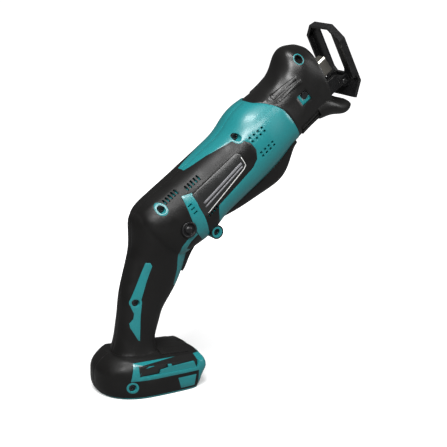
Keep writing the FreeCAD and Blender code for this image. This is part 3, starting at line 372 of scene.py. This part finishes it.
# %% Finish: boot_rubber
tree, shader = start_finish("boot_rubber", IOR=1.52, Specular_IOR_Level=0.3, Coat_Weight=0.06,
                            Coat_Roughness=0.22)
skin = place_group(tree, grain, Size=0.0007)
touched = place_group(tree, handling, Patch=0.022)
dust = place_group(tree, dusty, Amount=0.10)
colour = two_colours(tree, dust["Mask"], RUBBER_AND_SHADE_BLACK, RUBBER_DUSTY)
into(tree, shader, colour, ranged(tree, touched["Mask"], 0.0, 1.0, 0.30, 0.38), skin["Height"],
     depth=0.00003, strength=0.5)
print("boot_rubber ready")

# %% [markdown]
# ## Black nylon, powder coat and blackened screws
# Three blacks that must not look the same. Buttons and trigger are moulded nylon with a spark
# eroded skin. The shoe is pressed steel in powder coat, whose slight orange peel is a coarse, low
# bump under a gloss, and whose edges show steel where work has rubbed them. The screws are oxidised
# steel, metallic and dark.

# %% Finishes: black_plastic, shoe_black, dark_screws
STEEL = (0.56, 0.55, 0.53)
tree, shader = start_finish("black_plastic", IOR=1.5, Specular_IOR_Level=0.3)
spark = place_group(tree, grain, Size=0.00025)
touched = place_group(tree, handling, Patch=0.012)
into(tree, shader, two_colours(tree, spark["Tone"], (0.0065, 0.0065, 0.007), (0.011, 0.011, 0.012)),
     ranged(tree, touched["Mask"], 0.0, 1.0, 0.28, 0.40), spark["Height"], depth=0.00002, strength=0.5)

tree, shader = start_finish("shoe_black", IOR=1.5, Specular_IOR_Level=0.3, Coat_Weight=0.2,
                            Coat_Roughness=0.15)
peel = place_group(tree, grain, Size=0.0012)
edges = place_group(tree, rubbed, Reach=0.0005, Breakup=0.0025)
coated = two_colours(tree, peel["Tone"], (0.0055, 0.0055, 0.006), (0.009, 0.009, 0.0095))
bare_share = math_node(tree, "MULTIPLY", edges["Mask"], 0.12)
colour = add(tree, "ShaderNodeMix", {"data_type": "RGBA"}, _6=coated, _7=(*STEEL, 1), _0=bare_share)
tree.links.new(bare_share, shader.inputs["Metallic"])
into(tree, shader, colour.outputs[2], ranged(tree, peel["Tone"], 0.0, 1.0, 0.26, 0.33), peel["Height"],
     depth=0.00004, strength=0.5)

tree, shader = start_finish("dark_screws", Metallic=1.0)
turned = place_group(tree, grain, Size=0.0002)
edges = place_group(tree, rubbed, Reach=0.0003, Breakup=0.001)
into(tree, shader, two_colours(tree, edges["Mask"], (0.055, 0.058, 0.062), (0.30, 0.30, 0.30)),
     ranged(tree, turned["Tone"], 0.0, 1.0, 0.30, 0.45), turned["Height"], depth=0.00001)
print("three blacks ready")

# %% [markdown]
# ## The slider and the other bright metals
# The blade slider is a milled bar: warm grey steel with lines along the stroke. Shafts and gears
# are ground, so they share the milled group at a finer pitch. The cast gear case is rougher and
# paler. Bronze guides, copper windings and plated contacts only differ in colour and roughness.

# %% Finishes: the metals, from one table
METALS = {  # slot: colour, deeper colour, roughness low and high, pitch of the lines or None for cast
    "brushed_slider": ((0.58, 0.56, 0.50), (0.44, 0.42, 0.37), 0.30, 0.42, 0.00022),
    "ground_steel": ((0.60, 0.60, 0.59), (0.50, 0.50, 0.50), 0.18, 0.30, 0.00012),
    "zinc_steel": ((0.52, 0.53, 0.54), (0.42, 0.43, 0.44), 0.30, 0.45, 0.00018),
    "cast_alloy": ((0.60, 0.60, 0.61), (0.48, 0.48, 0.49), 0.42, 0.60, None),
    "bearing_bronze": ((0.55, 0.36, 0.16), (0.42, 0.26, 0.11), 0.32, 0.50, None),
    "core_steel": ((0.32, 0.32, 0.33), (0.22, 0.22, 0.23), 0.40, 0.55, 0.0004),
    "copper": ((0.72, 0.36, 0.18), (0.55, 0.24, 0.10), 0.22, 0.38, 0.0003),
    "contact_brass": ((0.78, 0.62, 0.34), (0.62, 0.47, 0.24), 0.20, 0.34, 0.00015)}
for slot_name, (pale, deep, smooth, rough, pitch) in METALS.items():
    tree, shader = start_finish(slot_name, Metallic=1.0)
    if pitch:
        worked = place_group(tree, milled, Pitch=pitch)
    else:
        worked = place_group(tree, grain, Size=0.0006)
    into(tree, shader, two_colours(tree, worked["Tone"], pale, deep),
         ranged(tree, worked["Tone"], 0.0, 1.0, smooth, rough), worked["Height"], depth=0.00002)
print("metals:", len(METALS))

# %% [markdown]
# ## What is left inside and in small places
# Felt, ferrite, carbon, board and film hardly show, but they are seen through vents and in the
# battery bay, and a careful model is finished where nobody looks.

# %% Finishes: the quiet ones, from one table
QUIET = {  # slot: colour, second colour, roughness low and high, grain size, bump depth
    "plate_film": ((0.010, 0.0105, 0.0105), (0.015, 0.0155, 0.0155), 0.30, 0.38, 0.0005, 0.00001),
    "felt": ((0.22, 0.21, 0.19), (0.15, 0.14, 0.13), 0.90, 0.98, 0.0007, 0.0002),
    "magnet": ((0.07, 0.07, 0.075), (0.05, 0.05, 0.055), 0.55, 0.70, 0.0005, 0.00004),
    "carbon": ((0.03, 0.03, 0.03), (0.02, 0.02, 0.02), 0.50, 0.65, 0.0004, 0.00003),
    "board": ((0.012, 0.13, 0.05), (0.008, 0.10, 0.04), 0.30, 0.42, 0.0010, 0.00002)}
for slot_name, (first, second, smooth, rough, size, depth) in QUIET.items():
    tree, shader = start_finish(slot_name, IOR=1.5)
    texture = place_group(tree, grain, Size=size)
    touched = place_group(tree, handling, Patch=0.02)
    into(tree, shader, two_colours(tree, texture["Tone"], first, second),
         ranged(tree, touched["Mask"], 0.0, 1.0, smooth, rough), texture["Height"], depth=depth)
print("quiet finishes:", len(QUIET))

# %% [markdown]
# ## The lamp's lens
# A clear polycarbonate block in front of the work light. Glass needs only transmission and an IOR,
# but a moulded lens is never quite even, so a faint ripple moves its surface and its roughness.

# %% Finish: clear_lens
tree, shader = start_finish("clear_lens", IOR=1.58, Transmission_Weight=1.0)
ripple = place_group(tree, grain, Size=0.002)
into(tree, shader, two_colours(tree, ripple["Tone"], (0.90, 0.94, 0.96), (0.84, 0.89, 0.92)),
     ranged(tree, ripple["Tone"], 0.0, 1.0, 0.03, 0.09), ripple["Height"], depth=0.00003)
print("finishes:", len(FINISHES))

# %% [markdown]
# ## Giving every node its finish
# The record already says which finish each node takes, so assigning them is a loop. The nodes come
# in with sharp, unbroken edges, which real mouldings never have. On every node outside the hidden, plain
# finishes, a Weld joins the corners that the file format split, and a Bevel rounds what is left by a few
# tenths of a millimetre, so each of those edges catches a thin line of light.

# %% Assign the finishes and round the edges
EDGE_RADIUS = {"grip_rubber": 0.45, "boot_rubber": 0.5, "hard_shell": 0.3, "shoe_black": 0.5,
               "black_plastic": 0.35, "brushed_slider": 0.35, "plate_film": 0.15}
HIDDEN_PLAIN = {"magnet", "carbon", "board", "copper", "core_steel", "felt", "bearing_bronze"}


def round_edges(item, radius, steps=2, angle=38):
    weld = item.modifiers.new("join corners", "WELD")
    weld.merge_threshold = 1e-6
    bevel = item.modifiers.new("rounded edges", "BEVEL")
    bevel.width = radius * MM
    bevel.segments = steps
    bevel.limit_method = "ANGLE"
    bevel.angle_limit = math.radians(angle)
    bevel.use_clamp_overlap = True
    bevel.harden_normals = True


for part in frame["record"]["subparts"]:
    item = frame["nodes"][part["node"]]
    slot_name = part["material_slot"]
    item.data.materials.clear()
    item.data.materials.append(FINISHES[slot_name])
    if slot_name not in HIDDEN_PLAIN:
        round_edges(item, EDGE_RADIUS.get(slot_name, 0.2))

# %% [markdown]
# ## Relief that follows a curved side
# The barrel's sides bulge, so anything raised on them has to bulge too. Each raised rib is a strip
# of quads: at every step a ray is sent in from the side to find the surface, and the strip's section
# stands on that point. Modelling the strip flat and bending it with a Shrinkwrap would also work, but
# the ray gives the exact foot of every vertex.


def surface_of(*names):
    """A tree of faces, for finding the skin of the named nodes from outside."""
    corners, faces = [], []
    for name in names:
        mesh = frame["nodes"][name].data
        start = len(corners)
        corners += [vertex.co.copy() for vertex in mesh.vertices]
        faces += [[start + i for i in polygon.vertices] for polygon in mesh.polygons]
    return BVHTree.FromPolygons(corners, faces)


def raised_rib(name, path, width, height, side, skin, finish, steps=24):
    """A low rib of rounded section along a path of (u, h) points, on the side given by its sign."""
    section = [(-0.5, -0.4), (-0.46, 0.55), (-0.3, 0.95), (0.0, 1.0), (0.3, 0.95), (0.46, 0.55),
               (0.5, -0.4)]
    points = []
    for (u0, h0), (u1, h1) in zip(path, path[1:]):
        count = max(2, round(steps * math.hypot(u1 - u0, h1 - h0) / 60))
        points += [(u0 + (u1 - u0) * k / count, h0 + (h1 - h0) * k / count) for k in range(count)]
    points.append(path[-1])
    work = bmesh.new()
    rows = []
    for i, (u, h) in enumerate(points):
        before, after = points[max(i - 1, 0)], points[min(i + 1, len(points) - 1)]
        run = math.hypot(after[0] - before[0], after[1] - before[1])
        side_u, side_h = -(after[1] - before[1]) / run, (after[0] - before[0]) / run
        taper = min(1.0, (min(i, len(points) - 1 - i) + 0.25) / 1.2)
        row = []
        for offset, rise in section:
            at = barrel(u + side_u * offset * width, side * 60, h + side_h * offset * width)
            hit = skin.ray_cast(at, -ACROSS * side)[0]
            row.append(work.verts.new(hit + ACROSS * side * (rise * height * taper * MM)))
        rows.append(row)
    for low, high in zip(rows, rows[1:]):
        for k in range(len(section) - 1):
            work.faces.new((low[k], low[k + 1], high[k + 1], high[k]))
        work.faces.new((low[-1], low[0], high[0], high[-1]))
    work.faces.new(rows[0])
    work.faces.new(rows[-1])
    bmesh.ops.recalc_face_normals(work, faces=work.faces)
    mesh = bpy.data.meshes.new(name)
    work.to_mesh(mesh)
    work.free()
    mesh.shade_smooth()
    item = bpy.data.objects.new(name, mesh)
    bpy.context.collection.objects.link(item)
    mesh.materials.append(FINISHES[finish])
    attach(item, "tool")
    return item


print("rib helper ready")

# %% [markdown]
# ## The side plates' relief
# Each side carries a blank dark plate with a raised rim along its lower and front edges and two long
# bars. Nothing is printed on it here. The bars are a satin grey so that they read against the film.

# %% Finish: satin grey for the bars, and the ribs themselves
tree, shader = start_finish("plate_bars", IOR=1.5, Metallic=0.0)
worked = place_group(tree, milled, Pitch=0.0003)
into(tree, shader, two_colours(tree, worked["Tone"], (0.17, 0.17, 0.18), (0.12, 0.12, 0.13)),
     ranged(tree, worked["Tone"], 0.0, 1.0, 0.30, 0.42), worked["Height"], depth=0.00001)
tree, shader = start_finish("plate_rim", IOR=1.5, Metallic=0.0)
worked = place_group(tree, grain, Size=0.0005)
into(tree, shader, two_colours(tree, worked["Tone"], (0.52, 0.52, 0.50), (0.42, 0.42, 0.41)),
     ranged(tree, worked["Tone"], 0.0, 1.0, 0.25, 0.34), worked["Height"], depth=0.00001)

BARS = [((141.0, -3.4), (191.5, 0.6)), ((140.2, -7.2), (190.5, -2.4))]
RIM = [(139.0, -13.6), (190.0, -5.4), (193.6, -3.4), (194.6, 5.0)]
plate_skin = surface_of("blank_side_plates", "shell_right", "shell_left", "grip_skin_right",
                        "grip_skin_left")
for side, word in ((-1, "right"), (1, "left")):
    for number, path in enumerate(BARS):
        raised_rib(f"plate_bar_{word}_{number + 1}", list(path), 2.2 - 0.7 * number, 0.32, side,
                   plate_skin, "plate_bars")
    raised_rib(f"plate_rim_{word}", RIM, 0.8, 0.4, side, plate_skin, "plate_rim")
print("plate relief: 6 ribs")

# %% [markdown]
# ## Turned button and screw ring
# The lock-off button goes right through the tool. Each end is a polished dome in a groove inside a
# flat rim, so a thumb finds it without looking: a profile spun about an axis across the tool. The
# nose screw sits in a thin blue-green ring, which is a raised rib on a circular path.

# %% Lock-off button and the ring round the nose screw
def turned_piece(name, centre, profile, finish, body, turns=48):
    """A closed ring of (radius, y) points in millimetres, spun about the y axis through a point."""
    work = bmesh.new()
    rings = []
    for radius, y in profile:
        if radius < 1e-6:
            rings.append([work.verts.new(centre + Vector((0, y, 0)) * MM)])
            continue
        rings.append([work.verts.new(centre + Vector((radius * math.cos(a), y, radius * math.sin(a))) * MM)
                      for a in (2 * math.pi * k / turns for k in range(turns))])
    closing = [] if len(rings[0]) == 1 else [(rings[-1], rings[0])]
    for low, high in list(zip(rings, rings[1:])) + closing:
        for k in range(turns):
            after = (k + 1) % turns
            if len(low) == 1:
                work.faces.new((low[0], high[after], high[k]))
            elif len(high) == 1:
                work.faces.new((low[k], low[after], high[0]))
            else:
                work.faces.new((low[k], low[after], high[after], high[k]))
    bmesh.ops.recalc_face_normals(work, faces=work.faces)
    mesh = bpy.data.meshes.new(name)
    work.to_mesh(mesh)
    work.free()
    mesh.shade_smooth()
    item = bpy.data.objects.new(name, mesh)
    bpy.context.collection.objects.link(item)
    mesh.materials.append(FINISHES[finish])
    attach(item, body)
    return item


button_box = [frame["nodes"]["lock_off_button"].matrix_world @ Vector(corner)
              for corner in frame["nodes"]["lock_off_button"].bound_box]
y_right, y_left = min(c.y for c in button_box) / MM, max(c.y for c in button_box) / MM
button_centre = sum(button_box, Vector()) / 8
button_centre.y = 0
WAIST_R, WAIST_NEAR, WAIST_FAR, BUTTON_R = 5.5, -10.0, 6.0, 7.5
DOME = [(0.0, 0.0), (1.2, 0.12), (2.4, 0.5), (3.3, 1.1), (3.9, 1.9), (4.1, 2.9), (4.8, 3.1),
        (5.4, 2.9), (5.7, 1.5), (6.0, 1.15), (6.9, 1.1), (7.35, 1.25), (BUTTON_R, 1.7)]  # radius, depth
waist = [(BUTTON_R, WAIST_NEAR), (WAIST_R, WAIST_NEAR), (WAIST_R, WAIST_FAR), (BUTTON_R, WAIST_FAR)]
profile = [(r, y_right + d) for r, d in DOME] + waist + [(r, y_left - d) for r, d in reversed(DOME)]
button = turned_piece("lock_off_button_domed", button_centre, profile, "black_plastic", "lock_button")
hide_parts("lock_off_button")

NOSE_SCREW = (298.6, 31.6)       # its (u, h)
RING_MIDDLE, RING_WIDE, RING_PROUD = 4.4, 0.9, 0.22
RING_STEPS = 32
circle = [(NOSE_SCREW[0] + RING_MIDDLE * math.cos(a), NOSE_SCREW[1] + RING_MIDDLE * math.sin(a))
          for a in (2 * math.pi * k / RING_STEPS for k in range(RING_STEPS + 1))]
raised_rib("nose_screw_ring", circle, RING_WIDE, RING_PROUD, -1, surface_of("nose_boot"), "hard_shell")
print("button and ring ready")

# %% [markdown]
# ## The studio
# A white sweep would do, but the camera looks down far enough that one wide floor fills the view.
# The floor is pale, and what the camera sees of it glows more with distance, so it is white far off
# and still takes the soft shadow under the foot. To every other ray both floor and world are dim,
# which keeps the blacks deep. The highlights are left to the soft boxes.

# %% Floor and world
FLOOR_REACH = 12.0
FLOOR_GLOW_NEAR, FLOOR_GLOW_FAR = 0.16, 1.0
GLOW_FROM, GLOW_TO = 0.10, 0.45      # metres from the foot
BOUNCE_GREY = (0.20, 0.20, 0.20, 1)
AIR_DIM, AIR_SEEN = 0.10, 1.0
floor_mesh = bpy.data.meshes.new("studio_floor")
work = bmesh.new()
bmesh.ops.create_grid(work, x_segments=8, y_segments=8, size=FLOOR_REACH)
work.to_mesh(floor_mesh)
work.free()
floor = bpy.data.objects.new("studio_floor", floor_mesh)
floor.location.z = -0.0002
bpy.context.collection.objects.link(floor)
paper = bpy.data.materials.new("studio_paper")
paper.use_nodes = True
tree = paper.node_tree
shader = tree.nodes["Principled BSDF"]
fibre = place_group(tree, grain, Size=0.004)
direct = add(tree, "ShaderNodeLightPath").outputs["Is Camera Ray"]
seen = two_colours(tree, fibre["Tone"], (0.86, 0.86, 0.86), (0.83, 0.83, 0.83))
bounced = add(tree, "ShaderNodeMix", {"data_type": "RGBA"}, _0=direct, _6=BOUNCE_GREY, _7=seen)
into(tree, shader, bounced.outputs[2])
apart = add(tree, "ShaderNodeVectorMath", {"operation": "LENGTH"},
            _0=add(tree, "ShaderNodeTexCoord").outputs["Object"]).outputs["Value"]
glow = math_node(tree, "MULTIPLY", direct,
                 ranged(tree, apart, GLOW_FROM, GLOW_TO, FLOOR_GLOW_NEAR, FLOOR_GLOW_FAR))
tree.links.new(glow, shader.inputs["Emission Strength"])
shader.inputs["Roughness"].default_value = 0.8
shader.inputs["Specular IOR Level"].default_value = 0.1
shader.inputs["Emission Color"].default_value = (1, 1, 1, 1)
floor_mesh.materials.append(paper)

world = bpy.data.worlds.new("studio_air")
world.use_nodes = True
direct = add(world.node_tree, "ShaderNodeLightPath").outputs["Is Camera Ray"]
world.node_tree.links.new(ranged(world.node_tree, direct, 0.0, 1.0, AIR_DIM, AIR_SEEN),
                          world.node_tree.nodes["Background"].inputs[1])
world.node_tree.nodes["Background"].inputs[0].default_value = (1, 1, 1, 1)
bpy.context.scene.world = world
print("floor and world ready")

# %% [markdown]
# ## Lights
# The key is a soft box above the camera's left shoulder. A second one hangs over the barrel, for the
# light on its top. A low long one in front gives the band along the shoulder above the side plate,
# and one from the right fills the front of the handle. Each is aimed with a track quaternion at the
# middle of the saw.

# %% Four soft boxes
middle = (Vector(cad_box[0]) + Vector(cad_box[1])) / 2


def soft_box(name, place, wide, tall, power):
    lamp = bpy.data.lights.new(name, "AREA")
    lamp.shape = "RECTANGLE"
    lamp.size, lamp.size_y = wide, tall
    lamp.energy = power
    item = bpy.data.objects.new(name, lamp)
    item.location = place
    item.rotation_euler = (middle - Vector(place)).to_track_quat("-Z", "Y").to_euler()
    bpy.context.collection.objects.link(item)


soft_box("key_box", (-0.75, -0.80, 1.00), 0.45, 0.35, 14)
soft_box("top_box", (-0.32, -0.27, 1.27), 0.7, 0.25, 13)
soft_box("shoulder_box", (-0.06, -0.80, 0.84), 0.7, 0.22, 7)
soft_box("fill_box", (1.1, -0.8, 0.75), 0.3, 0.8, 7)
print("lights ready")

# %% [markdown]
# ## The camera
# The saw is seen from behind its right side, a little above. A long lens keeps the foot and the shoe
# in proportion, as catalogue pictures do. Its axes are built from three directions, so there is
# no roll to guess.

# %% Camera
TARGET = Vector((0.08628, 0.0, 0.14210))
DISTANCE = 1.150
BEHIND, ABOVE = math.radians(30), math.radians(15)
LENS = 98.64
back = Vector((-math.sin(BEHIND) * math.cos(ABOVE), -math.cos(BEHIND) * math.cos(ABOVE), math.sin(ABOVE)))
right = Vector((math.cos(BEHIND), -math.sin(BEHIND), 0))
up = back.cross(right)
lens = bpy.data.cameras.new("camera")
lens.lens = LENS
lens.sensor_width = 36
lens.clip_end = 60
camera = bpy.data.objects.new("camera", lens)
camera.matrix_world = Matrix.Translation(TARGET + back * DISTANCE) @ Matrix(
    (right, up, back)).transposed().to_4x4()
bpy.context.collection.objects.link(camera)
bpy.context.scene.camera = camera
bpy.context.scene.view_settings.view_transform = "Standard"
print("camera at", [round(v, 3) for v in camera.location])

# %% [markdown]
# ## The end
# Looks never change the tool's size.

# %% The end
print("scene dressed")
